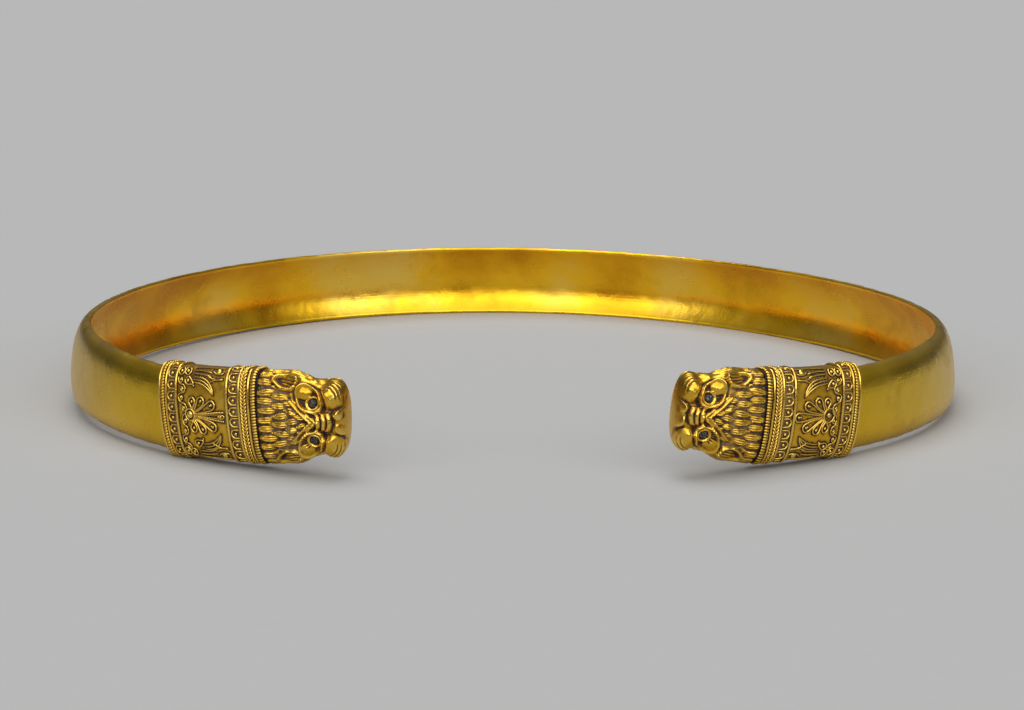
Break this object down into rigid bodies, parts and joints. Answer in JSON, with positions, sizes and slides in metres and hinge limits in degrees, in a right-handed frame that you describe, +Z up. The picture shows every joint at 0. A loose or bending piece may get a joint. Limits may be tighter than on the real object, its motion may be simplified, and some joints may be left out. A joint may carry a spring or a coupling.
{
  "type": "open neck ring with lion-head terminals",
  "caption": "Open gold neck ring: a plain hollow-backed band that ends in decorated collars and lion heads facing each other across a gap.",
  "frame": {"origin": "centre of the bounding box at the level the ring lies on", "axes": "+Z up from the surface it lies on, +X to the right as seen from the gap, -Y towards the gap between the heads"},
  "size_m": [0.1506, 0.1486, 0.0167],
  "materials": {
    "band_gold": "satin worn gold",
    "worked_gold": "worked gold with dark soil in the recesses",
    "eye_inlay": "dark decayed glass"
  },
  "bodies": {
    "root": {"hoop": "band_gold", "left_collar": "worked_gold", "left_rear_beaded_wire": "worked_gold", "left_plait": "worked_gold", "left_front_beaded_wire": "worked_gold", "left_lion_head": "worked_gold", "left_upper_eye": "eye_inlay", "left_lower_eye": "eye_inlay", "right_collar": "worked_gold", "right_rear_beaded_wire": "worked_gold", "right_plait": "worked_gold", "right_front_beaded_wire": "worked_gold", "right_lion_head": "worked_gold", "right_upper_eye": "eye_inlay", "right_lower_eye": "eye_inlay"}
  },
  "joints": []
}
